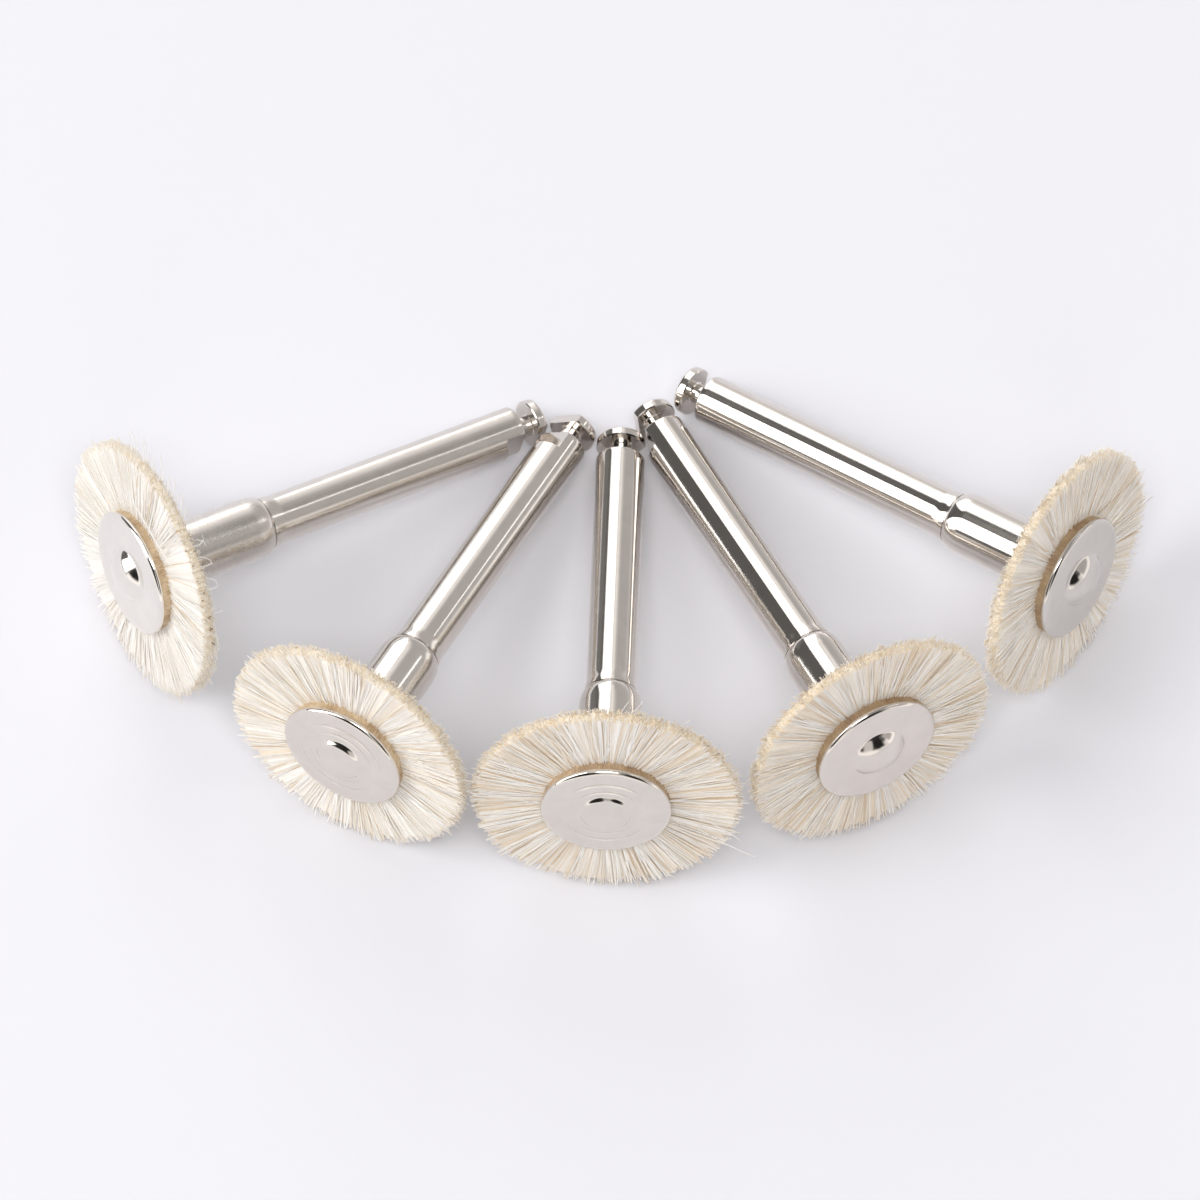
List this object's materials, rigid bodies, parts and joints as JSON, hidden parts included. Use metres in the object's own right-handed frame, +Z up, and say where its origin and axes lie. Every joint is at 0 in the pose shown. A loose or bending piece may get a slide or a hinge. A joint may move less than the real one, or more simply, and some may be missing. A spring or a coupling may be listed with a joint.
{
  "type": "latch-shank bristle wheel brush set",
  "caption": "Small polishing brushes, each a trimmed natural bristle wheel clamped between metal caps on a grooved latch shank, laid out side by side in a fan.",
  "frame": {"origin": "middle of the base of the box around the whole row, on the table", "axes": "+X along the row to the viewer's right, +Y from the wheels towards the latch ends, +Z up from the table"},
  "size_m": [0.0504, 0.0262, 0.0123],
  "materials": {
    "shank": "bright nickel-plated steel, mirror polished",
    "collar": "bright nickel-plated sheet metal",
    "cap": "pale, lightly satin nickel-plated sheet metal",
    "core": "bristle roots bonded with tan adhesive, matte",
    "bristles": "natural cream bristle, trimmed, matte with a soft sheen"
  },
  "bodies": {
    "brush_1": {"shank_1": "shank", "collar_1": "collar", "rear_cap_1": "cap", "front_cap_1": "cap", "core_1": "core", "bristles_1": "bristles"},
    "brush_2": {"shank_2": "shank", "collar_2": "collar", "rear_cap_2": "cap", "front_cap_2": "cap", "core_2": "core", "bristles_2": "bristles"},
    "brush_3": {"shank_3": "shank", "collar_3": "collar", "rear_cap_3": "cap", "front_cap_3": "cap", "core_3": "core", "bristles_3": "bristles"},
    "brush_4": {"shank_4": "shank", "collar_4": "collar", "rear_cap_4": "cap", "front_cap_4": "cap", "core_4": "core", "bristles_4": "bristles"},
    "brush_5": {"shank_5": "shank", "collar_5": "collar", "rear_cap_5": "cap", "front_cap_5": "cap", "core_5": "core", "bristles_5": "bristles"}
  },
  "joints": [
    {"name": "lift_brush_1", "type": "slide", "parent": "brush_3", "child": "brush_1", "axis": [0, 0, 1], "range_m": [0, 0.015]},
    {"name": "lift_brush_2", "type": "slide", "parent": "brush_3", "child": "brush_2", "axis": [0, 0, 1], "range_m": [0, 0.015]},
    {"name": "lift_brush_4", "type": "slide", "parent": "brush_3", "child": "brush_4", "axis": [0, 0, 1], "range_m": [0, 0.015]},
    {"name": "lift_brush_5", "type": "slide", "parent": "brush_3", "child": "brush_5", "axis": [0, 0, 1], "range_m": [0, 0.015]}
  ]
}
